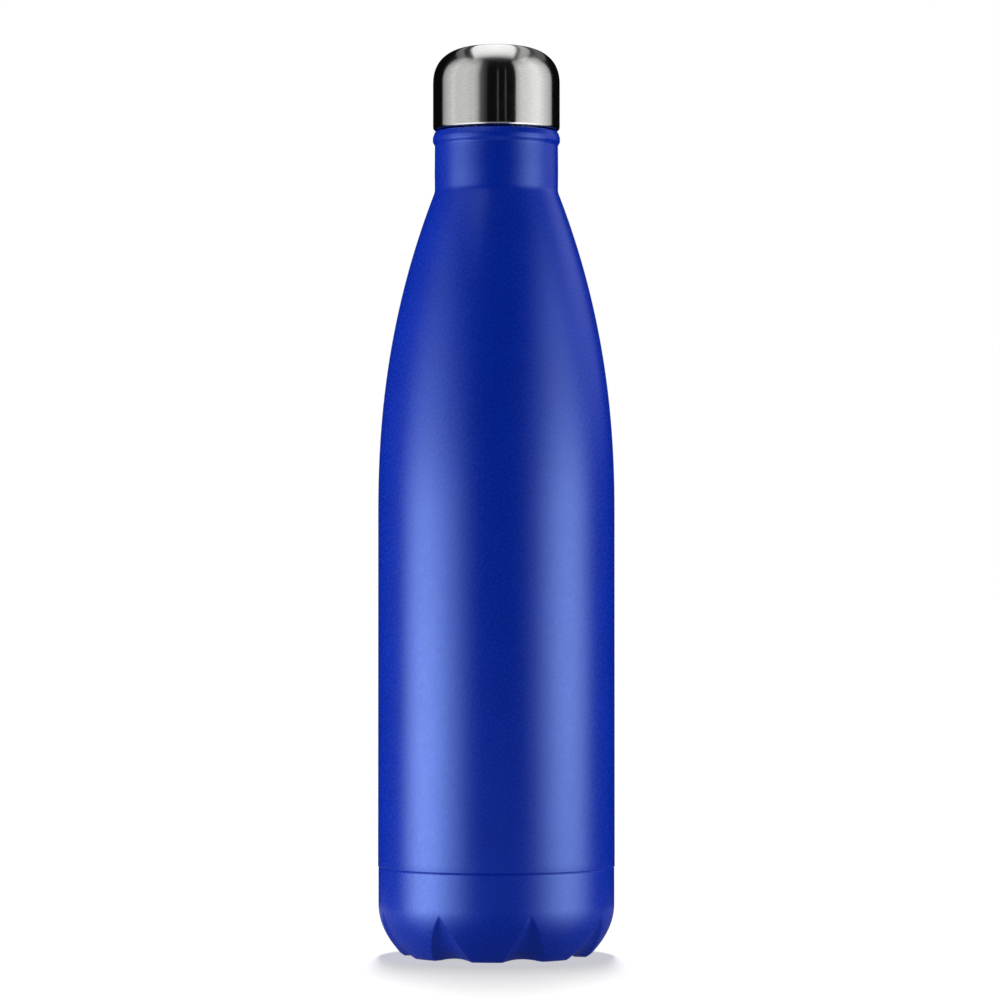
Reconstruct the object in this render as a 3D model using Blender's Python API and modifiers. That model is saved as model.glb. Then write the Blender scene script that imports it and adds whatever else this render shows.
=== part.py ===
"""Vacuum-insulated steel drinking bottle with a screw cap, 0.75 litre, about 31 cm tall.

Frame: metres, +Z up along the bottle's axis, origin on the axis at the plane the feet stand on.
Every length below is in millimetres and is multiplied by MM where an object is made.

Bottle side: outer_shell, base_cup, outer_bottom, vacuum_seal, getter, getter_clip, inner_liner, inner_bottom.
Seal: lip_gasket.
Cap side: cap_shell, plug_core, plug_end_cap, cap_insulation.
"""
import math

import bmesh
import bpy

MM = 0.001

# ---------------------------------------------------------------- driving dimensions, mm
SHEET = 0.4                      # wall of every drawn steel piece
GAP = 0.3                        # clearance left between pieces that touch on the real bottle

BODY_R = 40.2                    # outer radius of the straight body
SEAM_Z = 30.0                    # seam between the outer shell and the base cup
SHOULDER_Z = 150.0               # height where the shoulder starts to draw in
NECK_Z = 259.5                   # height where the shoulder meets the neck
NECK_R = 21.05                   # outer radius of the neck
SHOULDER_DROP = 19.24            # how far the shoulder draws in
SHOULDER_POWER = 2.21            # shoulder: drop grows with this power of the height
BEAD_R = 21.65                   # rolled bead under the cap
BEAD_Z = 277.2
MOUTH_TOP = 286.3                # top of the drinking lip
LIP_R = 17.6                     # outer radius of the bare lip
MOUTH_R = 16.0                   # inner radius of the mouth

LINER_R = 35.4                   # outer radius of the inner vessel
LINER_SHOULDER_Z = 148.0
LINER_DROP = 18.9
LINER_WELD_Z = 42.0              # where the liner's dished bottom is welded on

CUP_R = 40.04                    # base cup, a little under the body
CUP_TURN_Z = 17.8                # where its wall starts to turn in
CUP_DROP = 8.43
CUP_POWER = 2.095
FOOT_OUT_R, FOOT_IN_R = 31.2, 27.2
RECESS_Z = 2.8                   # height of the recessed centre underneath
LOBES = 8
FLUTE_PHASE = math.radians(16.7 - 90.0)   # direction of one flute, measured from +X
FLUTE_TOP_Z = 16.0               # where a flute runs out into the wall
FLUTE_HALF_WIDTH = 7.2           # at the foot, where the wall's radius is FLUTE_R
FLUTE_R = 31.4
FLUTE_DEPTH = 3.0                # at the foot
FLUTE_LIFT = 0.85                # how far a flute's end stands clear of the table

CAP_R = 21.6
CAP_RIM_Z = 280.4
CAP_SHOULDER_Z = 296.0
CAP_CROWN = 13.4                 # height of the domed top above the straight wall
CAP_POWER_R, CAP_POWER_Z = 3.1, 2.4

LEAD = 6.0                       # single-start right-hand thread
BARREL_R = 14.3                  # plug barrel, root of the male thread
MALE_CREST_R = 15.5
FEMALE_CREST_R = 14.95
MALE_START_Z, MALE_TURNS = 270.95, 1.6
FEMALE_START_Z, FEMALE_TURNS = 273.0, 1.5
PLUG_BOTTOM_Z = 268.3

ROUND = 40                       # facets round the shells
ROUND_HIDDEN = 28                # facets round the pieces that stay out of sight

# ---------------------------------------------------------------- scene and helpers
for old in list(bpy.data.objects):
    bpy.data.objects.remove(old, do_unlink=True)

scene = bpy.context.scene
parts = bpy.data.collections.new("water_bottle")
cutters = bpy.data.collections.new("water_bottle_cutters")
scene.collection.children.link(parts)
scene.collection.children.link(cutters)


def principled(name, colour, roughness, metallic):
    material = bpy.data.materials.new(name)
    material.use_nodes = True
    shader = material.node_tree.nodes["Principled BSDF"]
    shader.inputs["Base Color"].default_value = (*colour, 1.0)
    shader.inputs["Roughness"].default_value = roughness
    shader.inputs["Metallic"].default_value = metallic
    return material


BLUE_COAT = principled("blue_coat", (0.008, 0.028, 0.30), 0.48, 0.0)
BRUSHED = principled("brushed_steel", (0.60, 0.60, 0.59), 0.26, 1.0)
BARE_STEEL = principled("bare_steel", (0.52, 0.52, 0.51), 0.32, 1.0)
PLUG_PLASTIC = principled("plug_plastic", (0.035, 0.036, 0.038), 0.5, 0.0)
SILICONE = principled("silicone", (0.72, 0.73, 0.74), 0.6, 0.0)
FOAM = principled("foam", (0.80, 0.77, 0.68), 0.95, 0.0)
GLASS_SOLDER = principled("glass_solder", (0.06, 0.05, 0.045), 0.35, 0.0)
GETTER_STEEL = principled("getter_steel", (0.36, 0.36, 0.37), 0.55, 0.9)


def put(obj, material, collection=parts):
    collection.objects.link(obj)
    obj.data.materials.clear()
    obj.data.materials.append(material)
    return obj


def profile_mesh(name, points, loop):
    """Edges only, in the XZ plane, in metres."""
    edges = [(i, i + 1) for i in range(len(points) - 1)]
    if loop:
        edges.append((len(points) - 1, 0))
    mesh = bpy.data.meshes.new(name)
    mesh.from_pydata([(r * MM, 0.0, z * MM) for r, z in points], edges, [])
    return mesh


def add_screw(obj, steps, angle=2 * math.pi, rise=0.0, merge=True):
    screw = obj.modifiers.new("turn", "SCREW")
    screw.axis = "Z"
    screw.angle = angle
    screw.screw_offset = rise
    screw.steps = steps
    screw.render_steps = steps
    screw.use_merge_vertices = merge
    screw.merge_threshold = 0.00001
    screw.use_smooth_shade = True
    return screw


def turned(name, points, material, steps=ROUND, loop=False, wall=None, collection=parts):
    """A piece turned about Z. points are (r, z) down the outer side. An open profile with a wall is a drawn sheet,
    whose thickness goes inwards."""
    obj = put(bpy.data.objects.new(name, profile_mesh(name, points, loop)), material, collection)
    add_screw(obj, steps)
    if wall:
        solid = obj.modifiers.new("sheet", "SOLIDIFY")
        solid.thickness = wall * MM
        solid.offset = -1.0
        solid.use_even_offset = True
        solid.use_rim = True
    return obj


def as_mesh(obj, name):
    """The evaluated object as a new mesh object, with the source removed."""
    bpy.context.view_layer.update()
    graph = bpy.context.evaluated_depsgraph_get()
    mesh = bpy.data.meshes.new_from_object(obj.evaluated_get(graph))
    matrix = obj.matrix_world.copy()
    source_name = obj.name
    bpy.data.objects.remove(obj, do_unlink=True)
    made = bpy.data.objects.new(name, mesh)
    made.matrix_world = matrix
    return made, source_name


def smoothstep(x):
    x = min(1.0, max(0.0, x))
    return x * x * (3.0 - 2.0 * x)


def thread_ridge(name, root_r, crest_r, root_half, crest_half, start_z, turns, per_turn=32):
    """A helical ridge of trapezoid section for one thread, as a closed mesh. It fades out over a sixth of a turn at both
    ends. root_r lies inside the wall that the ridge is joined to."""
    steps = round(per_turn * turns)
    section = [(root_r, start_z + root_half), (crest_r, start_z + crest_half),
               (crest_r, start_z - crest_half), (root_r, start_z - root_half)]
    if crest_r < root_r:
        section.reverse()
    guide = bpy.data.objects.new(name + "_guide", profile_mesh(name + "_guide", section, True))
    cutters.objects.link(guide)
    add_screw(guide, steps, 2 * math.pi * turns, LEAD * turns * MM, merge=False)
    ridge, _ = as_mesh(guide, name)
    fade = per_turn / 6.0
    work = bmesh.new()
    work.from_mesh(ridge.data)
    for vert in work.verts:
        angle_index = vert.index // 4
        keep = smoothstep(min(angle_index, steps - angle_index) / fade)
        r = math.hypot(vert.co.x, vert.co.y)
        low = root_r + (0.12 if crest_r > root_r else -0.12)
        wanted = low * MM + (r - low * MM) * keep if abs(r - root_r * MM) > 1e-5 else r
        vert.co.x *= wanted / r
        vert.co.y *= wanted / r
    bmesh.ops.holes_fill(work, edges=[e for e in work.edges if e.is_boundary], sides=4)
    bmesh.ops.recalc_face_normals(work, faces=work.faces)
    work.to_mesh(ridge.data)
    work.free()
    cutters.objects.link(ridge)
    ridge.hide_render = True
    ridge.display_type = "WIRE"
    return ridge


def join(obj, other):
    union = obj.modifiers.new("join_" + other.name, "BOOLEAN")
    union.operation = "UNION"
    union.solver = "EXACT"
    union.object = other


# ---------------------------------------------------------------- design curves
def shoulder_r(z):
    """Outer radius of the painted body between the straight wall and the neck."""
    u = max(0.0, (z - SHOULDER_Z) / (NECK_Z - SHOULDER_Z))
    return BODY_R - SHOULDER_DROP * u ** SHOULDER_POWER


def liner_shoulder_r(z):
    u = max(0.0, (z - LINER_SHOULDER_Z) / (NECK_Z - 2.5 - LINER_SHOULDER_Z))
    return LINER_R - LINER_DROP * u ** SHOULDER_POWER


def cup_wall_r(z):
    """Outer radius of the base cup's lobes, from the seam down to the feet."""
    u = max(0.0, (CUP_TURN_Z - z) / CUP_TURN_Z)
    return CUP_R - CUP_DROP * u ** CUP_POWER


def cap_dome_z(r):
    return CAP_SHOULDER_Z + CAP_CROWN * (1.0 - (r / CAP_R) ** CAP_POWER_R) ** (1.0 / CAP_POWER_Z)


def spread(low, high, count, ease=1.0):
    return [low + (high - low) * (i / (count - 1)) ** ease for i in range(count)]


# ---------------------------------------------------------------- outer shell: painted body, neck, bead and bare lip
shell_profile = [
    (LIP_R, MOUTH_TOP - SHEET - 0.35),
    (LIP_R, 281.0),
    (LIP_R + 0.7, 280.2),
    (20.2, 279.9),
    (21.15, 279.2),
    (BEAD_R - 0.1, BEAD_Z + 1.1),
    (BEAD_R, BEAD_Z - 0.2),
    (BEAD_R - 0.35, BEAD_Z - 2.3),
    (NECK_R, 273.8),
    (NECK_R, NECK_Z + 1.2),
]
shell_profile += [(shoulder_r(z) + 0.05, z) for z in spread(NECK_Z - 1.0, 167.0, 9)]
shell_profile += [(BODY_R, SHOULDER_Z), (BODY_R, SEAM_Z + 0.2)]
outer_shell = turned("outer_shell", shell_profile, BLUE_COAT, wall=SHEET)

# ---------------------------------------------------------------- base cup: eight lobes that stand on eight flat feet
cup_profile = [
    (CUP_R - 0.74, SEAM_Z + 4.8),
    (CUP_R - 0.74, SEAM_Z + 0.3),
    (CUP_R, SEAM_Z - 0.4),
    (CUP_R, CUP_TURN_Z),
]
cup_profile += [(cup_wall_r(z), z) for z in (14.6, 11.6, 8.6, 5.6, 2.8, 0.9)]
cup_profile += [
    (FOOT_OUT_R, 0.0),
    (FOOT_IN_R, 0.0),
    (25.4, 1.2),
    (24.0, 2.4),
    (22.0, RECESS_Z),
    (0.0, RECESS_Z),
]
cup_raw = turned("base_cup_raw", cup_profile, BLUE_COAT, steps=6 * LOBES, collection=cutters)
base_cup, _ = as_mesh(cup_raw, "base_cup")


def flute_half_angle(r, z):
    """Half the width of a flute, as an angle, at this place on the cup: it widens evenly from its tip to the foot."""
    fall = min(1.0, max(0.0, (FLUTE_TOP_Z - z) / FLUTE_TOP_Z))
    return FLUTE_HALF_WIDTH / FLUTE_R * fall


def flute_depth(r, z):
    """(inwards, upwards) depth of a flute's valley at this place on the cup."""
    fall = min(1.0, max(0.0, (FLUTE_TOP_Z - z) / FLUTE_TOP_Z))
    inner = smoothstep((r - 24.2) / (FOOT_IN_R - 24.2))
    outer = smoothstep((r - FOOT_IN_R) / (FOOT_OUT_R - FOOT_IN_R))
    return FLUTE_DEPTH * fall * outer, FLUTE_LIFT * smoothstep((4.0 - z) / 4.0) * inner


half_pitch = math.pi / LOBES
for vert in base_cup.data.vertices:
    r, z = math.hypot(vert.co.x, vert.co.y) / MM, vert.co.z / MM
    if z > CUP_TURN_Z - 0.1 or r < 1.0:
        turn = FLUTE_PHASE
        vert.co.x, vert.co.y = (vert.co.x * math.cos(turn) - vert.co.y * math.sin(turn),
                                vert.co.x * math.sin(turn) + vert.co.y * math.cos(turn))
        continue
    angle = math.atan2(vert.co.y, vert.co.x)
    lobe = round(angle / (2 * half_pitch))
    offset = angle - lobe * 2 * half_pitch
    share = abs(offset) / half_pitch                 # 0 in a flute's valley, 1 on a lobe's crest
    edge = max(0.09, flute_half_angle(r, z))
    if share <= 2.0 / 3.0:
        placed = edge * share * 1.5
    else:
        placed = edge + (half_pitch - edge) * (share - 2.0 / 3.0) * 3.0
    half = flute_half_angle(r, z)
    valley = max(0.0, 1.0 - (placed / half) ** 2) if half > 0.01 else 0.0
    inwards, upwards = flute_depth(r, z)
    r -= inwards * valley
    z += upwards * valley
    angle = lobe * 2 * half_pitch + math.copysign(placed, offset) + FLUTE_PHASE
    vert.co = (r * MM * math.cos(angle), r * MM * math.sin(angle), z * MM)
put(base_cup, BLUE_COAT)
cup_sheet = base_cup.modifiers.new("sheet", "SOLIDIFY")
cup_sheet.thickness = SHEET * MM
cup_sheet.offset = -1.0
cup_sheet.use_even_offset = True

# ---------------------------------------------------------------- outer bottom: the vacuum wall's dished end, inside the base cup
bottom_profile = [
    (39.35, 41.6), (39.35, 36.6), (38.1, 35.2), (37.4, 31.0), (35.0, 25.6), (30.6, 22.6), (24.0, 21.3),
    (9.0, 20.9), (7.4, 21.8), (6.4, 23.6), (1.6, 23.8),
]
outer_bottom = turned("outer_bottom", bottom_profile, BARE_STEEL, steps=ROUND_HIDDEN, wall=SHEET)

# bead of glass solder that closes the evacuation hole in the outer bottom's well
vacuum_seal = turned("vacuum_seal", [(0.0, 23.3), (3.6, 23.2), (4.4, 22.7), (4.2, 22.0), (2.6, 21.5), (0.0, 21.4)],
                     GLASS_SOLDER, steps=20)

# ---------------------------------------------------------------- getter pill and the clip that holds it, in the vacuum space
GETTER_AT = 18.0
getter = turned("getter", [(0.0, 24.6), (3.4, 24.6), (3.9, 24.2), (3.9, 22.4), (0.0, 22.4)], GETTER_STEEL, steps=20)
getter.location = (GETTER_AT * MM, 0.0, 0.0)

clip_line = [(-7.6, 22.3), (-4.5, 22.3), (-4.5, 24.95), (4.5, 24.95), (4.5, 22.3), (7.6, 22.3),
             (7.6, 22.6), (4.8, 22.6), (4.8, 25.25), (-4.8, 25.25), (-4.8, 22.6), (-7.6, 22.6)]
clip_curve = bpy.data.curves.new("getter_clip", "CURVE")
clip_curve.dimensions = "2D"
clip_curve.fill_mode = "BOTH"
clip_curve.extrude = 2.0 * MM
clip_spline = clip_curve.splines.new("POLY")
clip_spline.points.add(len(clip_line) - 1)
for point, (x, y) in zip(clip_spline.points, clip_line):
    point.co = (x * MM, y * MM, 0.0, 1.0)
clip_spline.use_cyclic_u = True
getter_clip = put(bpy.data.objects.new("getter_clip", clip_curve), BARE_STEEL)
getter_clip.rotation_euler = (math.pi / 2, 0.0, math.pi / 2)
getter_clip.location = (GETTER_AT * MM, 0.0, 0.0)

# ---------------------------------------------------------------- inner liner with its rolled neck thread, and its dished bottom
liner_profile = [(LIP_R, MOUTH_TOP - SHEET), (MOUTH_R + 0.75, MOUTH_TOP - SHEET), (MOUTH_R + SHEET, MOUTH_TOP - SHEET - 0.3),
                 (MOUTH_R + SHEET, NECK_Z - 0.9)]
liner_profile += [(liner_shoulder_r(z), z) for z in spread(NECK_Z - 5.0, 166.0, 8)]
liner_profile += [(LINER_R, LINER_SHOULDER_Z), (LINER_R, LINER_WELD_Z)]
inner_liner = turned("inner_liner", liner_profile, BARE_STEEL, wall=SHEET)
female = thread_ridge("neck_thread", MOUTH_R + 0.25, FEMALE_CREST_R, 1.65, 0.6, FEMALE_START_Z, FEMALE_TURNS)
join(inner_liner, female)

inner_bottom = turned("inner_bottom", [
    (LINER_R, LINER_WELD_Z - GAP), (LINER_R, 37.6), (34.5, 33.9), (32.4, 31.2), (29.0, 29.3), (24.0, 28.4),
    (12.0, 28.7), (0.0, 29.3),
], BARE_STEEL, steps=ROUND_HIDDEN, wall=SHEET)

# ---------------------------------------------------------------- cap: steel shell, threaded plug, its end cap, its insulation
cap_profile = [(CAP_R * s, cap_dome_z(CAP_R * s)) for s in (0.0, 0.32, 0.55, 0.72, 0.84, 0.92, 0.97, 0.995)]
cap_profile += [(CAP_R, CAP_SHOULDER_Z - 1.5), (CAP_R, CAP_RIM_Z + 0.9), (CAP_R - 0.3, CAP_RIM_Z + 0.25),
                (CAP_R - 0.85, CAP_RIM_Z), (CAP_R - 1.1, CAP_RIM_Z)]
cap_shell = turned("cap_shell", cap_profile, BRUSHED, wall=SHEET)

plug_core = turned("plug_core", [
    (20.7, 296.5), (20.7, 281.4), (19.6, 281.4), (19.6, 288.9), (14.8, 288.9), (14.8, 286.2), (15.6, 286.1),
    (15.6, 285.5), (BARREL_R, 284.6), (BARREL_R, PLUG_BOTTOM_Z), (12.7, PLUG_BOTTOM_Z), (12.7, 290.9),
    (19.5, 290.9), (19.5, 296.5),
], PLUG_PLASTIC, loop=True)
male = thread_ridge("plug_thread", BARREL_R - 0.4, MALE_CREST_R, 1.5, 0.6, MALE_START_Z, MALE_TURNS)
join(plug_core, male)

plug_end_cap = turned("plug_end_cap", [
    (0.0, 271.0), (12.3, 271.0), (12.3, PLUG_BOTTOM_Z - GAP), (BARREL_R, PLUG_BOTTOM_Z - GAP), (BARREL_R, 267.4),
    (13.7, 266.8), (10.4, 266.8), (9.9, 267.3), (0.0, 267.3),
], PLUG_PLASTIC, steps=ROUND_HIDDEN)

cap_insulation = turned("cap_insulation", [
    (0.0, 306.5), (11.0, 306.5), (17.0, 303.2), (19.1, 299.0), (19.1, 291.2), (12.35, 291.2), (12.35, 271.4), (0.0, 271.4),
], FOAM, steps=ROUND_HIDDEN)

# ---------------------------------------------------------------- silicone gasket that closes on the lip
lip_gasket = turned("lip_gasket", [
    (18.9, 288.6), (19.2, 288.3), (19.2, 286.95), (18.9, 286.65), (15.4, 286.65), (15.1, 286.95), (15.1, 288.3), (15.4, 288.6),
], SILICONE, loop=True)
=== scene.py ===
"""Looks of the vacuum-insulated drinking bottle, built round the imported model.

Lengths in the design section are millimetres on the bottle's axis frame; MM turns them into metres.
"""
import math

import bmesh
import bpy
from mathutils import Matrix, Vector


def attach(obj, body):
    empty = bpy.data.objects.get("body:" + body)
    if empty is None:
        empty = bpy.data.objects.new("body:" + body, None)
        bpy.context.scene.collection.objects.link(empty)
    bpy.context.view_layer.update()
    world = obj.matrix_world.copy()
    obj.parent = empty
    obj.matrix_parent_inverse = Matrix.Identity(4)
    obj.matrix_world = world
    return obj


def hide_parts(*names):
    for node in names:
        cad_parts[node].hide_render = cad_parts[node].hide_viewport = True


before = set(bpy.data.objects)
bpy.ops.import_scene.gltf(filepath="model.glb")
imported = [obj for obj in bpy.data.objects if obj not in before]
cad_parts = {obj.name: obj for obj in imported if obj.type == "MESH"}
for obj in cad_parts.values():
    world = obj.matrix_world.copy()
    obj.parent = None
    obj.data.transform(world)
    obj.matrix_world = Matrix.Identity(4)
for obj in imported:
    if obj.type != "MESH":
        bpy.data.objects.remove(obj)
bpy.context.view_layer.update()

MM = 0.001
TAU = 2.0 * math.pi
AROUND = 256

# ------------------------------------------------------------------ design, as in the CAD source, mm
SHEET = 0.4
BODY_R, SEAM_Z = 40.2, 30.0
SHOULDER_Z, NECK_Z = 150.0, 259.5
SHOULDER_DROP, SHOULDER_POWER = 19.24, 2.21
MOUTH_TOP, LIP_R, MOUTH_R = 286.3, 17.6, 16.0
LINER_R, LINER_SHOULDER_Z, LINER_DROP, LINER_WELD_Z = 35.4, 148.0, 18.9, 42.0
CUP_R, CUP_TURN_Z, CUP_DROP, CUP_POWER = 40.04, 17.8, 8.43, 2.095
FOOT_OUT_R, FOOT_IN_R, RECESS_Z = 31.2, 27.2, 2.8
LOBES = 8
FLUTE_PHASE = math.radians(16.7 - 90.0)
FLUTE_TOP_Z, FLUTE_HALF_WIDTH, FLUTE_R = 16.0, 7.2, 31.4
FLUTE_DEPTH, FLUTE_LIFT = 3.0, 0.85
CAP_R, CAP_RIM_Z, CAP_SHOULDER_Z, CAP_CROWN = 21.6, 280.4, 296.0, 13.4
CAP_POWER_R, CAP_POWER_Z = 3.1, 2.4
LEAD = 6.0
BARREL_R, MALE_CREST_R, FEMALE_CREST_R = 14.3, 15.5, 14.95
MALE_START_Z, MALE_TURNS = 270.95, 1.6
FEMALE_START_Z, FEMALE_TURNS = 273.0, 1.5
PLUG_BOTTOM_Z = 268.3


# ------------------------------------------------------------------ profile helpers
def fillet(corners, arc=6):
    """(r, z) or (r, z, radius) corners to a polyline with those corners rounded."""
    out = []
    for i, corner in enumerate(corners):
        p = Vector(corner[:2])
        radius = corner[2] if len(corner) > 2 else 0.0
        if not radius or i in (0, len(corners) - 1):
            out.append((p.x, p.y))
            continue
        a, b = Vector(corners[i - 1][:2]) - p, Vector(corners[i + 1][:2]) - p
        half = a.angle(b) / 2
        run = min(radius / math.tan(half), a.length * 0.49, b.length * 0.49)
        radius = run * math.tan(half)
        a.normalize()
        b.normalize()
        centre = p + (a + b).normalized() * (radius / math.sin(half))
        start, end = p + a * run - centre, p + b * run - centre
        turn = start.angle_signed(end)
        for k in range(arc + 1):
            t = turn * k / arc
            c, s = math.cos(-t), math.sin(-t)
            q = centre + Vector((start.x * c - start.y * s, start.x * s + start.y * c))
            out.append((q.x, q.y))
    return out


def offset(line, distance):
    """The polyline moved sideways, to its right as it runs, by distance."""
    out = []
    for i, p in enumerate(line):
        p = Vector(p)
        before = (p - Vector(line[i - 1])).normalized() if i else None
        after = (Vector(line[i + 1]) - p).normalized() if i < len(line) - 1 else None
        before = before or after
        after = after or before
        n1, n2 = Vector((before.y, -before.x)), Vector((after.y, -after.x))
        n = (n1 + n2).normalized()
        q = p + n * distance / max(0.5, n.dot(n1))
        out.append((max(0.0, q.x) if p.x < 1e-6 else q.x, q.y))
    return out


def between(line, step):
    """Long straight runs of a polyline, cut into steps."""
    out = [line[0]]
    for p, q in zip(line, line[1:]):
        n = max(1, math.ceil(math.hypot(q[0] - p[0], q[1] - p[1]) / step))
        out += [(p[0] + (q[0] - p[0]) * k / n, p[1] + (q[1] - p[1]) * k / n) for k in range(1, n + 1)]
    return out


def spread(low, high, count, ease=1.0):
    return [low + (high - low) * (i / (count - 1)) ** ease for i in range(count)]


def smoothstep(x):
    x = min(1.0, max(0.0, x))
    return x * x * (3.0 - 2.0 * x)


# ------------------------------------------------------------------ mesh helpers
def make(name, bm, body, material, nodes=(), sharp=40.0):
    bmesh.ops.recalc_face_normals(bm, faces=bm.faces)
    mesh = bpy.data.meshes.new(name)
    bm.to_mesh(mesh)
    bm.free()
    mesh.shade_smooth()
    mesh.set_sharp_from_angle(angle=math.radians(sharp))
    mesh.materials.append(material)
    obj = bpy.data.objects.new(name, mesh)
    bpy.context.scene.collection.objects.link(obj)
    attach(obj, body)
    if nodes:
        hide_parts(*nodes)
    return obj


def revolve(section, steps=AROUND, angles=None, shape=None):
    """A closed section, (r, z) in mm, turned about Z. Points on the axis become single poles, so a section that starts and
    ends on the axis is left open there. shape(r, z, angle, index) moves a point. UV: u round the axis, v along the section in mm."""
    bm = bmesh.new()
    uv = bm.loops.layers.uv.new("turned")
    angles = angles or [TAU * k / steps + math.pi / 2 for k in range(steps)]
    steps = len(angles)
    on_axis = section[0][0] < 1e-6 and section[-1][0] < 1e-6
    rings, along, walked = [], [], 0.0
    for i, (r, z) in enumerate(section):
        if i:
            walked += math.hypot(r - section[i - 1][0], z - section[i - 1][1])
        along.append(walked)
        if r < 1e-6:
            rings.append([bm.verts.new((0.0, 0.0, z * MM))] * steps)
            continue
        ring = []
        for a in angles:
            pr, pz, pa = shape(r, z, a, i) if shape else (r, z, a)
            ring.append(bm.verts.new((pr * MM * math.cos(pa), pr * MM * math.sin(pa), pz * MM)))
        rings.append(ring)
    last = len(rings) - 1 if on_axis else len(rings)
    for i in range(last):
        a, b = rings[i], rings[(i + 1) % len(rings)]
        va, vb = along[i], along[i + 1] if i + 1 < len(rings) else walked + 1.0
        for k in range(steps):
            m = (k + 1) % steps
            corners = [(a[k], k, va), (a[m], k + 1, va), (b[m], k + 1, vb), (b[k], k, vb)]
            seen, kept = set(), []
            for v, u, w in corners:
                if v not in seen:
                    seen.add(v)
                    kept.append((v, u, w))
            if len(kept) < 3:
                continue
            face = bm.faces.new([v for v, _, _ in kept])
            for loop, (_, u, w) in zip(face.loops, kept):
                loop[uv].uv = (u / steps, w)
    return bm


def sheet_section(outer, wall=SHEET):
    """Outer line of a drawn sheet, top to bottom, to its closed section. The wall goes to the line's right."""
    return outer + offset(outer, wall)[::-1]


# ------------------------------------------------------------------ material helpers
def new_material(name):
    material = bpy.data.materials.new(name)
    material.use_nodes = True
    tree = material.node_tree
    return material, tree, tree.nodes["Principled BSDF"]


def node(tree, kind, inputs=None, **settings):
    made = tree.nodes.new(kind)
    for key, value in settings.items():
        setattr(made, key, value)
    for key, value in (inputs or {}).items():
        if isinstance(value, bpy.types.NodeSocket):
            tree.links.new(value, made.inputs[key])
        else:
            made.inputs[key].default_value = value
    return made


def object_point(tree):
    return node(tree, "ShaderNodeTexCoord").outputs["Object"]


def noise(tree, vector, scale, detail=2.0, rough=0.5, distortion=0.0):
    return node(tree, "ShaderNodeTexNoise", {"Vector": vector, "Scale": scale, "Detail": detail, "Roughness": rough,
                                             "Distortion": distortion}).outputs["Fac"]


def remap(tree, value, low, high, to_low, to_high, smooth=False):
    return node(tree, "ShaderNodeMapRange", {"Value": value, "From Min": low, "From Max": high, "To Min": to_low,
                                             "To Max": to_high}, interpolation_type="SMOOTHSTEP" if smooth else "LINEAR").outputs[0]


def mix_colour(tree, factor, a, b, blend="MIX"):
    made = tree.nodes.new("ShaderNodeMix")
    made.data_type = "RGBA"
    made.blend_type = blend
    for socket, value in ((made.inputs[0], factor), (made.inputs[6], a), (made.inputs[7], b)):
        if isinstance(value, bpy.types.NodeSocket):
            tree.links.new(value, socket)
        else:
            socket.default_value = value
    return made.outputs[2]


def bump(tree, height, strength, distance, normal=None):
    made = node(tree, "ShaderNodeBump", {"Height": height, "Strength": strength, "Distance": distance})
    if normal:
        tree.links.new(normal, made.inputs["Normal"])
    return made.outputs["Normal"]


def math_node(tree, operation, a, b=0.0):
    return node(tree, "ShaderNodeMath", {0: a, 1: b}, operation=operation).outputs[0]


def around_point(tree, turns, along_scale, along=None):
    """A point for streaks that run round the axis: slow round the axis, fast along the section, with no seam."""
    point = object_point(tree)
    parts = node(tree, "ShaderNodeSeparateXYZ", {0: point})
    flat = node(tree, "ShaderNodeCombineXYZ", {0: parts.outputs[0], 1: parts.outputs[1], 2: 0.0}).outputs[0]
    unit = node(tree, "ShaderNodeVectorMath", {0: flat}, operation="NORMALIZE").outputs[0]
    unit = node(tree, "ShaderNodeSeparateXYZ", {0: unit})
    v = math_node(tree, "MULTIPLY", along or parts.outputs[2], along_scale)
    return node(tree, "ShaderNodeCombineXYZ", {0: math_node(tree, "MULTIPLY", unit.outputs[0], turns),
                                               1: math_node(tree, "MULTIPLY", unit.outputs[1], turns), 2: v}).outputs[0]


def along_section(tree):
    return node(tree, "ShaderNodeSeparateXYZ",
                {0: node(tree, "ShaderNodeUVMap", uv_map="turned").outputs[0]}).outputs[1]


# ------------------------------------------------------------------ materials
COAT_ROUGH = 0.27


def powder_coat():
    material, tree, shader = new_material("blue_powder_coat_fine")
    point = object_point(tree)
    broad = noise(tree, point, 55.0, 3.0, 0.55)
    grain = noise(tree, point, 2600.0, 2.0, 0.6)
    peel = noise(tree, point, 950.0, 2.0, 0.5)
    speck = node(tree, "ShaderNodeTexVoronoi", {"Vector": point, "Scale": 420.0}).outputs["Distance"]
    base = mix_colour(tree, remap(tree, broad, 0.3, 0.7, 0.0, 1.0), (0.0006, 0.0270, 0.500, 1), (0.0012, 0.0310, 0.550, 1))
    base = mix_colour(tree, remap(tree, grain, 0.35, 0.75, 0.0, 0.30), base, (0.0024, 0.0400, 0.620, 1))
    tree.links.new(base, shader.inputs["Base Color"])
    rough = math_node(tree, "ADD", remap(tree, peel, 0.3, 0.7, COAT_ROUGH - 0.04, COAT_ROUGH + 0.04),
                      remap(tree, speck, 0.0, 0.16, 0.04, 0.0))
    tree.links.new(rough, shader.inputs["Roughness"])
    normal = bump(tree, peel, 0.13, 0.00010)
    normal = bump(tree, grain, 0.13, 0.00004, normal)
    tree.links.new(normal, shader.inputs["Normal"])
    shader.inputs["Metallic"].default_value = 0.13
    shader.inputs["Specular IOR Level"].default_value = 0.90
    shader.inputs["Specular Tint"].default_value = (0.64, 0.92, 0.90, 1)
    shader.inputs["IOR"].default_value = 1.5
    return material


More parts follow.
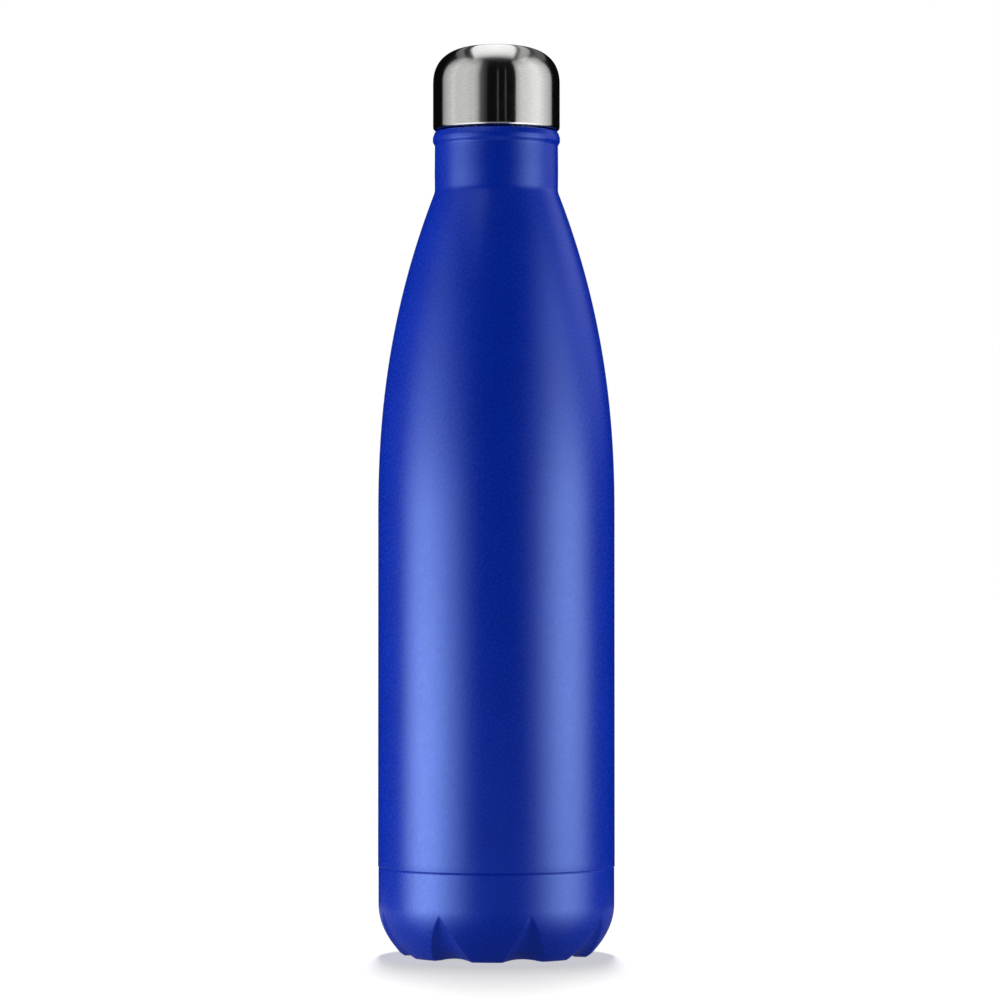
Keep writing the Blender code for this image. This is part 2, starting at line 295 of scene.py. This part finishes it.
def turned_steel(name, tint, rough_low, rough_high, anisotropic, fine=2.2, depth=0.000004, dull=0.0, by_height=False):
    """Steel brushed round the axis. Streaks and scratches follow the turning marks, along the section or by height."""
    material, tree, shader = new_material(name)
    along = along_section(tree)
    if by_height:
        along = math_node(tree, "MULTIPLY", node(tree, "ShaderNodeSeparateXYZ", {0: object_point(tree)}).outputs[2], 1000.0)
    streak = noise(tree, around_point(tree, 5.0, fine, along), 3.0, 6.0, 0.65)
    hair = noise(tree, around_point(tree, 16.0, fine * 5.0, along), 3.0, 3.0, 0.6)
    cloud = noise(tree, object_point(tree), 60.0, 3.0, 0.6)
    light = tuple(min(1.0, c * 1.12) for c in tint)
    dark = tuple(c * (0.86 - dull) for c in tint)
    base = mix_colour(tree, remap(tree, streak, 0.3, 0.7, 0.0, 1.0), (*dark, 1), (*light, 1))
    base = mix_colour(tree, remap(tree, hair, 0.60, 0.72, 0.0, 0.35), base, (*(c * 0.6 for c in tint), 1))
    tree.links.new(base, shader.inputs["Base Color"])
    rough = math_node(tree, "ADD", remap(tree, hair, 0.3, 0.7, rough_low, rough_high), remap(tree, cloud, 0.35, 0.65, -0.02, 0.03))
    tree.links.new(rough, shader.inputs["Roughness"])
    shader.inputs["Metallic"].default_value = 1.0
    shader.inputs["Anisotropic"].default_value = anisotropic
    shader.inputs["Anisotropic Rotation"].default_value = 0.25
    tangent = node(tree, "ShaderNodeTangent", direction_type="RADIAL", axis="Z").outputs[0]
    tree.links.new(tangent, shader.inputs["Tangent"])
    normal = bump(tree, hair, 0.25, depth)
    tree.links.new(normal, shader.inputs["Normal"])
    return material


def moulded(name, low, high, rough, grain_scale=1500.0, grain=0.00003, ior=1.49):
    material, tree, shader = new_material(name)
    point = object_point(tree)
    cloud = noise(tree, point, 120.0, 3.0, 0.6)
    fine = noise(tree, point, grain_scale, 2.0, 0.6)
    base = mix_colour(tree, remap(tree, cloud, 0.3, 0.7, 0.0, 1.0), (*low, 1), (*high, 1))
    tree.links.new(base, shader.inputs["Base Color"])
    tree.links.new(remap(tree, fine, 0.3, 0.7, rough - 0.05, rough + 0.06), shader.inputs["Roughness"])
    tree.links.new(bump(tree, fine, 0.3, grain), shader.inputs["Normal"])
    shader.inputs["IOR"].default_value = ior
    return material


COAT = powder_coat()
CAP_STEEL = turned_steel("brushed_cap_steel_fine", (0.62, 0.62, 0.61), 0.11, 0.16, 0.92)
LINER_STEEL = turned_steel("drawn_liner_steel_fine", (0.56, 0.555, 0.545), 0.26, 0.36, 0.6, fine=0.9, depth=0.000006)
SHEET_STEEL = turned_steel("drawn_sheet_steel_fine", (0.56, 0.555, 0.545), 0.26, 0.36, 0.6, fine=0.9, depth=0.000006, by_height=True)
LIP_STEEL = turned_steel("polished_lip_steel_fine", (0.60, 0.60, 0.59), 0.14, 0.22, 0.5, fine=3.0, depth=0.000003)
PLUG = moulded("moulded_plug_fine", (0.034, 0.035, 0.037), (0.046, 0.047, 0.049), 0.34)
SEAL = moulded("seal_silicone_fine", (0.70, 0.71, 0.72), (0.76, 0.77, 0.78), 0.50, 900.0, 0.00002, 1.41)
SEAL.node_tree.nodes["Principled BSDF"].inputs["Subsurface Weight"].default_value = 0.25
SEAL.node_tree.nodes["Principled BSDF"].inputs["Subsurface Scale"].default_value = 0.001
FOAM = moulded("expanded_foam_fine", (0.74, 0.71, 0.62), (0.84, 0.82, 0.74), 0.9, 700.0, 0.0003)
SOLDER = moulded("glass_solder_fine", (0.05, 0.042, 0.038), (0.075, 0.062, 0.055), 0.25, 600.0, 0.00005, 1.6)
GETTER = moulded("getter_alloy_fine", (0.30, 0.30, 0.31), (0.40, 0.40, 0.41), 0.55, 2500.0, 0.00006)
GETTER.node_tree.nodes["Principled BSDF"].inputs["Metallic"].default_value = 0.9

for name, material in (("outer_bottom", SHEET_STEEL), ("getter_clip", SHEET_STEEL), ("vacuum_seal", SOLDER),
                       ("getter", GETTER), ("cap_insulation", FOAM)):
    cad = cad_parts[name]
    for i in range(max(1, len(cad.material_slots))):
        if not cad.material_slots:
            cad.data.materials.append(material)
        cad.material_slots[i].material = material


# ------------------------------------------------------------------ painted body
def shoulder_r(z):
    u = max(0.0, (z - SHOULDER_Z) / (NECK_Z - SHOULDER_Z))
    return BODY_R - SHOULDER_DROP * u ** SHOULDER_POWER


neck = fillet([(18.3, 280.14), (20.9, 280.0, 0.8), (21.68, 277.9, 1.2), (21.66, 276.45, 0.5), (20.98, 275.2, 0.7), (21.05, 266.0),
               (20.98, NECK_Z, 5.0), (shoulder_r(256.0), 256.0)])
body_line = between(neck[:-1], 3.0) + [(shoulder_r(z), z) for z in spread(256.0, SHOULDER_Z, 64)]
body_line += [(BODY_R, z) for z in spread(SHOULDER_Z - 6.0, 36.0, 18)]
body_line += fillet([(BODY_R, 33.0), (BODY_R, SEAM_Z + 0.2, 0.30), (BODY_R - 0.2, SEAM_Z + 0.2)], 5)
body_inner = offset(body_line[:-8], SHEET)
body_inner = [p for p in body_inner if p[1] > SEAM_Z + 0.6]
painted_body = make("painted_body", revolve(body_line + [(BODY_R - SHEET, SEAM_Z + 0.2)] + body_inner[::-1]),
                    "bottle", COAT, ["outer_shell"])

lip_line = between(fillet([(LIP_R, MOUTH_TOP - SHEET - 0.18), (LIP_R, 280.05, 0.9), (18.27, 280.03)]), 0.8)
bare_lip = make("bare_lip", revolve(sheet_section(lip_line)), "bottle", LIP_STEEL, ["outer_shell"])

# ------------------------------------------------------------------ base cup with its lobes
FLUTE_CELLS, LAND_CELLS = 10, 6


def cup_wall_r(z):
    u = max(0.0, (CUP_TURN_Z - z) / CUP_TURN_Z)
    return CUP_R - CUP_DROP * u ** CUP_POWER


def cup_half_angle(z):
    return FLUTE_HALF_WIDTH / FLUTE_R * min(1.0, max(0.0, (FLUTE_TOP_Z - z) / FLUTE_TOP_Z))


def cup_shape(r, z, a, index):
    """a carries lobe and share of the half pitch, see cup_cells."""
    lobe, sign, share = cup_cells[round(a)]
    pitch = math.pi / LOBES
    if z > CUP_TURN_Z + 4.0:
        edge = 0.5 * pitch
    else:
        edge = max(0.085, cup_half_angle(z))
        edge += (0.5 * pitch - edge) * smoothstep((z - FLUTE_TOP_Z + 1.0) / (CUP_TURN_Z + 5.0 - FLUTE_TOP_Z))
    cut = FLUTE_CELLS / (FLUTE_CELLS + LAND_CELLS)
    placed = edge * share / cut if share <= cut else edge + (pitch - edge) * (share - cut) / (1.0 - cut)
    half = cup_half_angle(z)
    if half > 0.004 and r > 20.0:
        t = min(1.0, placed / half)
        valley = (1.0 - t * t)
        fall = min(1.0, max(0.0, (FLUTE_TOP_Z - z) / FLUTE_TOP_Z))
        inner = smoothstep((r - 24.2) / (FOOT_IN_R - 24.2))
        outer = smoothstep((r - FOOT_IN_R) / (FOOT_OUT_R - FOOT_IN_R))
        r -= FLUTE_DEPTH * fall * outer * valley
        z += FLUTE_LIFT * smoothstep((4.0 - z) / 4.0) * inner * valley
    return r, z, lobe * 2 * pitch + sign * placed + FLUTE_PHASE


cup_cells = []
for lobe_index in range(LOBES):
    total = FLUTE_CELLS + LAND_CELLS
    for k in range(-total, total):
        cup_cells.append((lobe_index, -1 if k < 0 else 1, abs(k) / total))

cup_outer = fillet([(CUP_R - 0.74, SEAM_Z + 4.8), (CUP_R - 0.74, SEAM_Z + 0.35, 0.25), (CUP_R - 0.25, SEAM_Z + 0.25, 0.2),
                    (CUP_R, SEAM_Z - 0.5, 0.3), (CUP_R, SEAM_Z - 4.0)], 4)
cup_outer = between(cup_outer, 1.2) + [(CUP_R, z) for z in spread(SEAM_Z - 5.0, CUP_TURN_Z + 0.4, 8)]
cup_outer += [(cup_wall_r(z), z) for z in spread(CUP_TURN_Z, 0.9, 44)]
foot = fillet([(cup_wall_r(0.9), 0.9), (FOOT_OUT_R, 0.0, 0.7), (FOOT_IN_R, 0.0, 1.0), (25.4, 1.2, 1.2), (24.0, 2.45, 1.0),
               (22.0, RECESS_Z, 2.0), (19.0, RECESS_Z)], 5)
cup_outer += between(foot, 0.8)[1:]
cup_outer += [(r, RECESS_Z) for r in (16.0, 12.0, 8.0, 4.0, 1.5, 0.0)]
cup_inner = offset(cup_outer, SHEET)
lobed_cup = make("lobed_base_cup", revolve(cup_inner[::-1] + cup_outer, angles=list(range(len(cup_cells))), shape=cup_shape),
                 "bottle", COAT, ["base_cup"], sharp=28.0)


# ------------------------------------------------------------------ inner vessel: liner with its neck thread, and bottom
def ridge_height(angle, z, start_z, turns, root_half, crest_half):
    """0 to 1: height of a thread's ridge at this place. Its ends fade over a sixth of a turn."""
    best = 0.0
    base = (angle % TAU) / TAU
    for k in range(int(turns) + 2):
        t = base + k
        if not 0.0 <= t <= turns:
            continue
        away = abs(z - (start_z + LEAD * t))
        if away >= root_half:
            continue
        flank = smoothstep((root_half - away) / (root_half - crest_half))
        fade = smoothstep(min(t, turns - t) * 6.0)
        best = max(best, flank * fade)
    return best


def liner_shoulder_r(z):
    u = max(0.0, (z - LINER_SHOULDER_Z) / (NECK_Z - 2.5 - LINER_SHOULDER_Z))
    return LINER_R - LINER_DROP * u ** SHOULDER_POWER


lip_top = fillet([(LIP_R, MOUTH_TOP - SHEET - 0.1), (LIP_R, MOUTH_TOP, 0.38), (MOUTH_R, MOUTH_TOP, 0.5), (MOUTH_R, 284.0)], 6)
inside_line = [(MOUTH_R, z) for z in spread(283.8, 271.0, 60)] + [(MOUTH_R, z) for z in spread(269.0, NECK_Z + 0.5, 5)]
inside_line += [(liner_shoulder_r(z) - SHEET, z) for z in spread(NECK_Z - 3.0, LINER_SHOULDER_Z, 56)]
inside_line += [(LINER_R - SHEET, z) for z in spread(142.0, LINER_WELD_Z, 16)]
outside_line = [(LINER_R, z) for z in spread(LINER_WELD_Z, 142.0, 8)]
outside_line += [(liner_shoulder_r(z), z) for z in spread(LINER_SHOULDER_Z, NECK_Z - 3.0, 24)]
outside_line += [(MOUTH_R + SHEET, NECK_Z + 0.5), (MOUTH_R + SHEET, 272.0), (MOUTH_R + SHEET, 284.0),
                 (MOUTH_R + SHEET, MOUTH_TOP - SHEET - 0.25), (MOUTH_R + SHEET + 0.2, MOUTH_TOP - SHEET - 0.1)]


def liner_shape(r, z, a, index):
    if abs(r - MOUTH_R) < 1e-4 and z < 284.0:
        r -= (MOUTH_R - FEMALE_CREST_R) * ridge_height(a, z, FEMALE_START_Z, FEMALE_TURNS, 1.7, 0.45)
    return r, z, a


liner = make("steel_liner", revolve(lip_top + inside_line + outside_line, steps=192, shape=liner_shape),
             "bottle", LINER_STEEL, ["inner_liner"], sharp=50.0)

dish_under = fillet([(LINER_R, LINER_WELD_Z - 0.3), (LINER_R, 37.4, 4.0), (33.3, 32.0, 4.0), (27.5, 28.4, 6.0), (20.0, 28.4, 20.0),
                     (10.0, 28.9, 20.0), (0.0, 29.3)], 7)
dish_under = between(dish_under, 2.0)
dish_over = offset(dish_under, SHEET)
liner_dish = make("steel_liner_dish", revolve(dish_over[::-1] + dish_under, steps=160), "bottle", LINER_STEEL,
                  ["inner_bottom"])

# ------------------------------------------------------------------ cap cover with its curled rim


def cap_dome_z(r):
    return CAP_SHOULDER_Z + CAP_CROWN * max(0.0, 1.0 - (r / CAP_R) ** CAP_POWER_R) ** (1.0 / CAP_POWER_Z)


dome = [(0.0, cap_dome_z(0.0))]
for k in range(1, 61):
    t = k / 60.0 * math.pi / 2
    r = CAP_R * math.sin(t) ** (2.0 / CAP_POWER_R)
    dome.append((r, CAP_SHOULDER_Z + CAP_CROWN * math.cos(t) ** (2.0 / CAP_POWER_Z)))
dome = [dome[0], (1.2, cap_dome_z(1.2)), (2.6, cap_dome_z(2.6))] + [p for p in dome if p[0] > 3.6]
wall_line = [(CAP_R, z) for z in spread(CAP_SHOULDER_Z - 1.0, CAP_RIM_Z + 3.0, 10)]
CURL = 1.15
rim = [(CAP_R, CAP_RIM_Z + 2.4)] + [(CAP_R - CURL + CURL * math.cos(t), CAP_RIM_Z + CURL - CURL * math.sin(t))
                                   for t in spread(0.0, math.pi / 2, 12)]
cap_outer = dome + wall_line + rim
cap_inner = offset(cap_outer, SHEET)
cap_cover = make("cap_cover", revolve(cap_outer + cap_inner[::-1]), "cap", CAP_STEEL, ["cap_shell"])

# ------------------------------------------------------------------ threaded plug, its end cap and the gasket
plug_left = fillet([(20.7, 296.5, 0.3), (20.7, 281.4, 0.3), (19.6, 281.4, 0.3), (19.6, 288.9, 0.3), (14.8, 288.9, 0.3),
                    (14.8, 286.2, 0.2), (15.6, 286.1, 0.2), (15.6, 285.5, 0.3), (BARREL_R, 284.6, 0.6), (BARREL_R, 283.6)], 4)
barrel = [(BARREL_R, z) for z in spread(283.4, PLUG_BOTTOM_Z + 0.8, 76)]
plug_right = fillet([(BARREL_R, PLUG_BOTTOM_Z + 0.6), (BARREL_R, PLUG_BOTTOM_Z, 0.3), (12.7, PLUG_BOTTOM_Z, 0.2), (12.7, 290.9, 0.4),
                     (19.5, 290.9, 0.6), (19.5, 296.5, 0.3), (20.2, 296.5)], 4)


def plug_shape(r, z, a, index):
    if abs(r - BARREL_R) < 1e-4 and z < 283.5:
        r += (MALE_CREST_R - BARREL_R) * ridge_height(a, z, MALE_START_Z, MALE_TURNS, 1.32, 0.5)
    return r, z, a


plug_body = make("threaded_plug", revolve(between(plug_left, 3.0) + barrel + between(plug_right, 3.0), steps=192, shape=plug_shape),
                 "cap", PLUG, ["plug_core"], sharp=50.0)

end_under = fillet([(12.3, 271.0), (12.3, PLUG_BOTTOM_Z - 0.3, 0.2), (BARREL_R, PLUG_BOTTOM_Z - 0.3, 0.2), (BARREL_R, 267.2, 0.5),
                    (13.6, 266.8, 0.6), (10.5, 266.8, 0.4), (9.9, 267.3, 0.4), (4.0, 267.3)], 4) + [(2.0, 267.3), (0.0, 267.3)]
end_section = [(0.0, 271.0), (4.0, 271.0), (8.0, 271.0), (11.8, 271.0)] + end_under
plug_end = make("plug_end_disc", revolve(end_section, steps=160), "cap", PLUG, ["plug_end_cap"])

seal_line = fillet([(17.0, 288.6), (19.2, 288.6, 0.35), (19.2, 286.65, 0.5), (15.1, 286.65, 0.5), (15.1, 288.6, 0.35), (16.9, 288.6)], 6)
lip_seal = make("lip_seal", revolve(seal_line, steps=192), "seal", SEAL, ["lip_gasket"])

# ------------------------------------------------------------------ floor, lights and camera
FLOOR = (0.44, 0.44, 0.44)
FLOOR_GLOW = 0.56


def staged_plane(name, size, material, location=(0, 0, 0), rotation=(0, 0, 0)):
    mesh = bpy.data.meshes.new(name)
    w, h = size[0] / 2, size[1] / 2
    mesh.from_pydata([(-w, -h, 0), (w, -h, 0), (w, h, 0), (-w, h, 0)], [], [(0, 1, 2, 3)])
    mesh.materials.append(material)
    obj = bpy.data.objects.new(name, mesh)
    obj.location, obj.rotation_euler = location, rotation
    bpy.context.scene.collection.objects.link(obj)
    return obj


def one_sided(tree, surface):
    """The floor can be looked through from below, so that the underside shows."""
    clear = node(tree, "ShaderNodeBsdfTransparent")
    mixed = node(tree, "ShaderNodeMixShader", {0: node(tree, "ShaderNodeNewGeometry").outputs["Backfacing"]})
    tree.links.new(surface, mixed.inputs[1])
    tree.links.new(clear.outputs[0], mixed.inputs[2])
    return mixed.outputs[0]


floor_material, floor_tree, floor_shader = new_material("floor_pale")
floor_shader.inputs["Base Color"].default_value = (*FLOOR, 1)
floor_shader.inputs["Roughness"].default_value = 0.9
floor_shader.inputs["Specular IOR Level"].default_value = 0.0
floor_shader.inputs["Emission Color"].default_value = (1, 1, 1, 1)
floor_shader.inputs["Emission Strength"].default_value = FLOOR_GLOW
floor_material.cycles.emission_sampling = "NONE"
floor_tree.links.new(one_sided(floor_tree, floor_shader.outputs[0]), floor_tree.nodes["Material Output"].inputs["Surface"])
floor = staged_plane("floor", (60.0, 60.0), floor_material, (0, 0, -0.0002))
# The bottle stands on the floor and shades it, but takes no light from it.
floor.visible_diffuse = floor.visible_glossy = floor.visible_shadow = False


def lit(name, objects, state="INCLUDE"):
    """A set of objects for a light: the only ones it lights, or the ones it leaves out."""
    made = bpy.data.collections.new(name)
    for k, obj in enumerate(objects):
        made.objects.link(obj)
        made.collection_objects[k].light_linking.link_state = state
    return made


ONLY_FLOOR = lit("only_floor", [floor])
ONLY_CAP = lit("only_cap", [cap_cover])
THE_REST = lit("neither_floor_nor_cap", [floor, cap_cover], "EXCLUDE")
ONLY_MOUTH = lit("only_mouth_and_plug", [bare_lip, liner, liner_dish, plug_body, plug_end, lip_seal])


def softbox(name, azimuth, distance, height, size, value, aim_z=None, lights=THE_REST):
    """An area light at an azimuth from the -Y side towards +X, facing the bottle, with this radiance."""
    data = bpy.data.lights.new(name, "AREA")
    data.shape = "RECTANGLE"
    data.size, data.size_y = size
    data.energy = math.pi * size[0] * size[1] * value
    obj = bpy.data.objects.new(name, data)
    a = math.radians(azimuth)
    at = Vector((math.sin(a) * distance, -math.cos(a) * distance, height))
    obj.location = at
    target = Vector((0, 0, aim_z if aim_z is not None else height))
    obj.rotation_mode = "QUATERNION"
    obj.rotation_quaternion = (target - at).to_track_quat("-Z", "Y")
    obj.light_linking.receiver_collection = lights
    bpy.context.scene.collection.objects.link(obj)
    return obj


def ramp(tree, factor, stops):
    made = node(tree, "ShaderNodeValToRGB", {0: factor})
    made.color_ramp.interpolation = "EASE"
    elements = made.color_ramp.elements
    while len(elements) < len(stops):
        elements.new(0.5)
    for element, (at, value) in zip(elements, stops):
        element.position = at
        element.color = (value, value, value, 1)
    return made.outputs[0]


def graded(light, across, up):
    """Fades a softbox towards its edges: across by azimuth stops and up by height stops, each as fractions of its size."""
    light.data.use_nodes = True
    tree = light.data.node_tree
    at = node(tree, "ShaderNodeSeparateXYZ", {0: node(tree, "ShaderNodeTexCoord").outputs["UV"]})
    level = math_node(tree, "MULTIPLY", ramp(tree, at.outputs[0], across), ramp(tree, at.outputs[1], up))
    tree.links.new(level, next(n for n in tree.nodes if n.type == "EMISSION").inputs["Strength"])


def side_box(name, centre, half, low, high, peak, fades, heights, lights=THE_REST):
    """A tall softbox 1 m away whose level follows azimuth and height stops."""
    width = 2 * math.tan(math.radians(half))
    box = softbox(name, centre, 1.0, (low + high) / 2, (width, high - low), peak, lights=lights)
    across = sorted((0.5 + math.tan(math.radians(a - centre)) / width, v) for a, v in fades)
    graded(box, across, [((z - low) / (high - low), v) for z, v in heights])
    return box


# Body: two softboxes whose light falls off upwards.
side_box("left_box", -70.0, 54.0, -1.00, 0.95, 5.15,
         ((-14, 0.0), (-21, 0.03), (-26, 0.08), (-31, 0.19), (-43, 0.47), (-55, 0.79), (-66, 1.0), (-74, 1.0), (-82, 0.86), (-91, 0.48), (-100, 0.13),
          (-108, 0.0)),
         ((-1.00, 0.0), (-0.70, 0.05), (-0.42, 0.18), (-0.26, 0.36), (-0.14, 0.62), (-0.05, 0.88), (0.03, 1.0), (0.10, 0.88), (0.19, 0.52), (0.35, 0.23), (0.60, 0.10), (0.95, 0.0)))
side_box("right_box", 72.0, 52.0, -1.00, 0.95, 3.8,
         ((16, 0.0), (24, 0.02), (30, 0.05), (38, 0.17), (49, 0.52), (60, 0.87), (70, 1.0), (80, 0.89), (91, 0.50), (102, 0.12), (112, 0.0)),
         ((-1.00, 0.0), (-0.70, 0.05), (-0.42, 0.20), (-0.26, 0.36), (-0.14, 0.56), (-0.05, 0.76), (0.05, 0.97), (0.12, 1.0), (0.22, 0.72), (0.36, 0.34), (0.60, 0.20), (0.95, 0.02)))
side_box("right_high", 118.0, 26.0, 0.20, 1.0, 0.6,
         ((93, 0.0), (106, 0.8), (118, 1.0), (131, 0.8), (143, 0.0)), ((0.20, 0.0), (0.38, 0.6), (0.60, 1.0), (1.0, 0.2)))
over = softbox("over_box", 180.0, 0.7, 1.1, (0.6, 0.6), 0.3, aim_z=0.25)
for name, azimuth, distance, height, size, value, aim in (
        ("left_fill", -112.0, 1.1, 0.50, (1.1, 1.5), 0.95, 0.3), ("left_wide_fill", -76.0, 1.2, 0.50, (1.0, 1.3), 0.82, 0.2),
        ("right_fill", 112.0, 1.1, 0.50, (1.0, 1.5), 0.85, 0.3), ("right_wide_fill", 72.0, 1.2, 0.40, (1.0, 1.2), 0.95, 0.15),
        ("low_left_fill", -95.0, 0.8, -0.40, (0.8, 0.6), 0.85, 0.0), ("low_right_fill", 80.0, 0.8, -0.50, (0.8, 0.6), 0.20, 0.0),
        ("back_fill", 180.0, 1.3, 0.15, (1.2, 0.9), 0.45, 0.15)):
    fill = softbox(name, azimuth, distance, height, size, value, aim_z=aim)
    fill.visible_glossy = False
softbox("top_fill", -60.0, 0.45, 1.25, (1.1, 1.1), 0.50, aim_z=0.2)
top = softbox("top_wide_fill", 180.0, 0.1, 1.30, (1.4, 1.4), 0.45, aim_z=0.2)
top.visible_glossy = False


def level_card(name, height, size, centre_y, value, facing_up, lights):
    """A horizontal card, as a table top below or a ceiling panel above."""
    card = softbox(name, 0.0, 0.0, height, size, value, aim_z=height - 1.0, lights=lights)
    card.rotation_mode = "XYZ"
    card.rotation_euler = (math.pi if facing_up else 0.0, 0.0, 0.0)
    card.location = (0.0, centre_y, height)
    return card


# The table top as the coat mirrors it: brighter to the left and right of the foot than close in front, and paler again further out.
table_gloss = level_card("table_gloss", -0.001, (0.40, 0.40), 0.0, 0.22, True, THE_REST)
table_gloss.visible_diffuse = False
graded(table_gloss, [(0.0, 0.7), (0.20, 1.4), (0.39, 0.7), (0.50, 0.40), (0.61, 0.45), (0.80, 0.8), (1.0, 0.4)], [(0.0, 1.0), (1.0, 1.0)])
front_gloss = level_card("front_gloss", -0.001, (0.46, 0.70), -0.52, 0.42, True, THE_REST)
front_gloss.visible_diffuse = False
graded(front_gloss, [(0.0, 0.0), (0.25, 0.8), (0.5, 1.0), (0.75, 0.8), (1.0, 0.0)], [(0.0, 0.3), (0.5, 1.0), (1.0, 0.3)])

# Bare steel at the mouth and the plug under the cap, seen once the cap is off.
for name, azimuth, distance, height, size, value in (
        ("mouth_left", -55.0, 1.0, 0.45, (0.5, 1.1), 0.55), ("mouth_right", 50.0, 1.0, 0.45, (0.4, 1.1), 0.55),
        ("mouth_back", 165.0, 1.0, 0.45, (0.6, 1.1), 0.50), ("mouth_over", 180.0, 0.15, 1.25, (0.7, 0.7), 0.70)):
    softbox(name, azimuth, distance, height, size, value, aim_z=0.28, lights=ONLY_MOUTH)

# Cap: two evenly lit softboxes with crisp edges, a card over and behind it with a strip at each side, and a pale table below.
cap_heights = ((-2.6, 1.25), (-1.0, 1.25), (-0.35, 1.1), (-0.10, 0.64), (0.9, 0.64), (1.5, 0.40), (2.1, 0.0))
side_box("cap_left", -66.0, 54.0, -2.6, 2.1, 1.56,
         ((-117, 0.0), (-110, 0.45), (-106, 0.55), (-95, 0.74), (-85, 0.92), (-76, 0.82), (-58, 0.83), (-42, 0.74), (-35, 0.57),
          (-31, 0.30), (-28, 0.11), (-21, 0.05), (-15, 0.0)), cap_heights, ONLY_CAP)
side_box("cap_right", 78.0, 46.0, -2.6, 2.1, 1.56,
         ((34, 0.0), (37, 0.60), (47, 0.90), (55, 0.97), (63, 1.06), (71, 1.16), (81, 1.24), (90, 1.06), (101, 0.83), (113, 0.62),
          (118, 0.45), (121, 0.02)), cap_heights, ONLY_CAP)
softbox("cap_line_1", 2.5, 1.0, 0.40, (0.014, 0.7), 0.25, lights=ONLY_CAP)
softbox("cap_line_2", 16.5, 1.0, 0.40, (0.014, 0.7), 0.25, lights=ONLY_CAP)
softbox("cap_table", 0.0, 0.9, -0.75, (1.3, 1.0), 0.30, aim_z=0.28, lights=ONLY_CAP)

# A ceiling panel for the cap that narrows towards the back, with a thin gap and a paler strip down each side.
PANEL_X, PANEL_FRONT, PANEL_BACK = 1.1, -0.45, 2.75
panel = level_card("cap_ceiling", 1.285, (2 * PANEL_X, PANEL_BACK - PANEL_FRONT), (PANEL_FRONT + PANEL_BACK) / 2, 1.45, False, ONLY_CAP)
panel.data.use_nodes = True
panel_tree = panel.data.node_tree
panel_at = node(panel_tree, "ShaderNodeSeparateXYZ", {0: node(panel_tree, "ShaderNodeTexCoord").outputs["UV"]})
panel_x = remap(panel_tree, panel_at.outputs[0], 0.0, 1.0, -PANEL_X, PANEL_X)
panel_y = remap(panel_tree, panel_at.outputs[1], 0.0, 1.0, PANEL_FRONT, PANEL_BACK)
half = math_node(panel_tree, "MULTIPLY", math_node(panel_tree, "EXPONENT", math_node(panel_tree, "MULTIPLY", panel_y, -0.6)), 0.46)
across = math_node(panel_tree, "DIVIDE", panel_x, half)
ACROSS = 5.0
strips = ramp(panel_tree, remap(panel_tree, across, -ACROSS, ACROSS, 0.0, 1.0),
              [(0.5 + t / ACROSS / 2, v) for t, v in ((-2.5, 0.0), (-2.1, 0.12), (-1.6, 0.15), (-1.42, 0.02), (-1.12, 0.02), (-0.95, 0.9),
                                                      (0.0, 1.0), (0.70, 0.9), (0.84, 0.10), (0.92, 0.12), (1.05, 0.38), (1.50, 0.34),
                                                      (1.68, 0.03), (2.4, 0.10), (4.0, 0.10), (4.8, 0.0))])
ends = ramp(panel_tree, panel_at.outputs[1], [(0.0, 0.0), (0.06, 0.5), (0.14, 0.85), (0.25, 1.0), (0.9, 1.0), (1.0, 0.4)])
panel_tree.links.new(math_node(panel_tree, "MULTIPLY", strips, ends),
                     next(n for n in panel_tree.nodes if n.type == "EMISSION").inputs["Strength"])

# Floor: narrow beams from just behind straight up, which shade it only close in front of the bottle.
beams = [(5.0, 5.0, 0.085)] + [(9.5 + 3.6 * k, 4.0, 0.083) for k in range(5)]
for k, (tilt, angle, share) in enumerate(beams):
    data = bpy.data.lights.new(f"table_beam_{k}", "SUN")
    data.angle = math.radians(angle)
    data.energy = share * math.pi / FLOOR[0]
    beam = bpy.data.objects.new(f"table_beam_{k}", data)
    beam.location = (0, 0, 1.5)
    beam.rotation_euler = (math.radians(-tilt), 0, 0)
    beam.light_linking.receiver_collection = ONLY_FLOOR
    bpy.context.scene.collection.objects.link(beam)

world = bpy.data.worlds.new("studio")
bpy.context.scene.world = world
world.use_nodes = True
sky = world.node_tree
sky.nodes["Background"].inputs["Color"].default_value = (1, 1, 1, 1)
sky.nodes["Background"].inputs["Strength"].default_value = 0.004
seen = node(sky, "ShaderNodeBackground", {"Color": (1, 1, 1, 1), "Strength": 1.0})
pick = sky.nodes.new("ShaderNodeMixShader")
ray = node(sky, "ShaderNodeLightPath")
sky.links.new(ray.outputs["Is Camera Ray"], pick.inputs[0])
sky.links.new(sky.nodes["Background"].outputs[0], pick.inputs[1])
sky.links.new(seen.outputs[0], pick.inputs[2])
sky.links.new(pick.outputs[0], sky.nodes["World Output"].inputs["Surface"])

DISTANCE, EYE_Z, FOCAL_PX = 1.470, 0.1253, 4320.0
camera_data = bpy.data.cameras.new("camera")
camera_data.sensor_width = 36.0
camera_data.lens = 36.0 * FOCAL_PX / 1000.0
camera_data.clip_start, camera_data.clip_end = 0.05, 50.0
camera = bpy.data.objects.new("camera", camera_data)
bpy.context.scene.collection.objects.link(camera)
camera.location = (0.0, -DISTANCE, EYE_Z)
pitch, yaw = math.atan(86.0 / FOCAL_PX), math.atan(3.6 / FOCAL_PX)
aim = Vector((math.sin(yaw) * math.cos(pitch), math.cos(yaw) * math.cos(pitch), math.sin(pitch)))
camera.rotation_mode = "QUATERNION"
camera.rotation_quaternion = aim.to_track_quat("-Z", "Y")
bpy.context.scene.camera = camera
bpy.context.scene.view_settings.view_transform = "Standard"
